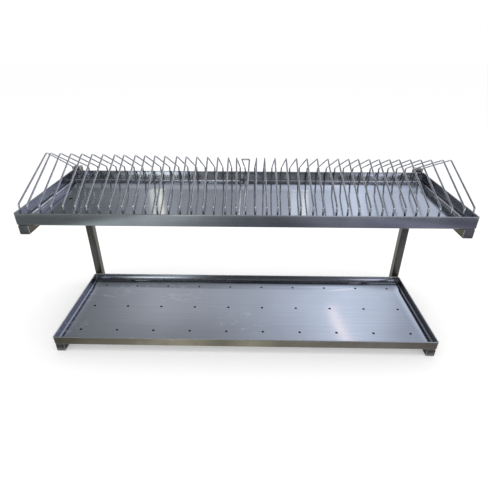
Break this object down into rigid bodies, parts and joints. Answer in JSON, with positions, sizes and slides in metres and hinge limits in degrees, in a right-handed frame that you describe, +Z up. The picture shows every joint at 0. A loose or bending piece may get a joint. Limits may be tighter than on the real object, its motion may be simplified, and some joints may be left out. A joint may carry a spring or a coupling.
{
  "type": "dish drying shelf",
  "caption": "Two-tier stainless dish drying shelf: upper drip tray with two lift-out wire plate racks over a perforated lower tray, on square-tube side frames.",
  "frame": {"origin": "middle of the footprint, at the underside of the lower arms", "axes": "+Z up, +Y towards the back posts, +X to the right as seen from the front"},
  "size_m": [1, 0.327, 0.4804],
  "materials": {
    "tray_steel": "satin polished stainless sheet",
    "tube_steel": "brushed stainless square tube",
    "cap_steel": "ground stainless end plate",
    "wire_steel": "bright drawn stainless wire"
  },
  "bodies": {
    "stand": {"upper_tray": "tray_steel", "lower_tray": "tray_steel", "left_lower_arm": "tube_steel", "right_lower_arm": "tube_steel", "left_upper_arm": "tube_steel", "right_upper_arm": "tube_steel", "left_post": "tube_steel", "right_post": "tube_steel", "left_lower_front_cap": "cap_steel", "left_lower_rear_cap": "cap_steel", "left_upper_front_cap": "cap_steel", "left_post_cap": "cap_steel", "right_lower_front_cap": "cap_steel", "right_lower_rear_cap": "cap_steel", "right_upper_front_cap": "cap_steel", "right_post_cap": "cap_steel"},
    "left_rack": {"left_rack_frame": "wire_steel", "left_hoop_01": "wire_steel", "left_hoop_02": "wire_steel", "left_hoop_03": "wire_steel", "left_hoop_04": "wire_steel", "left_hoop_05": "wire_steel", "left_hoop_06": "wire_steel", "left_hoop_07": "wire_steel", "left_hoop_08": "wire_steel", "left_hoop_09": "wire_steel", "left_hoop_10": "wire_steel", "left_hoop_11": "wire_steel", "left_hoop_12": "wire_steel", "left_hoop_13": "wire_steel", "left_hoop_14": "wire_steel", "left_hoop_15": "wire_steel", "left_hoop_16": "wire_steel", "left_hoop_17": "wire_steel", "left_hoop_18": "wire_steel", "left_hoop_19": "wire_steel", "left_hoop_20": "wire_steel"},
    "right_rack": {"right_rack_frame": "wire_steel", "right_hoop_01": "wire_steel", "right_hoop_02": "wire_steel", "right_hoop_03": "wire_steel", "right_hoop_04": "wire_steel", "right_hoop_05": "wire_steel", "right_hoop_06": "wire_steel", "right_hoop_07": "wire_steel", "right_hoop_08": "wire_steel", "right_hoop_09": "wire_steel", "right_hoop_10": "wire_steel", "right_hoop_11": "wire_steel", "right_hoop_12": "wire_steel", "right_hoop_13": "wire_steel", "right_hoop_14": "wire_steel", "right_hoop_15": "wire_steel", "right_hoop_16": "wire_steel", "right_hoop_17": "wire_steel", "right_hoop_18": "wire_steel", "right_hoop_19": "wire_steel", "right_hoop_20": "wire_steel", "right_hoop_21": "wire_steel"}
  },
  "joints": [
    {"name": "left_rack_lift", "type": "slide", "parent": "stand", "child": "left_rack", "axis": [0, 0, 1], "range_m": [0, 0.15]},
    {"name": "right_rack_lift", "type": "slide", "parent": "stand", "child": "right_rack", "axis": [0, 0, 1], "range_m": [0, 0.15]}
  ]
}
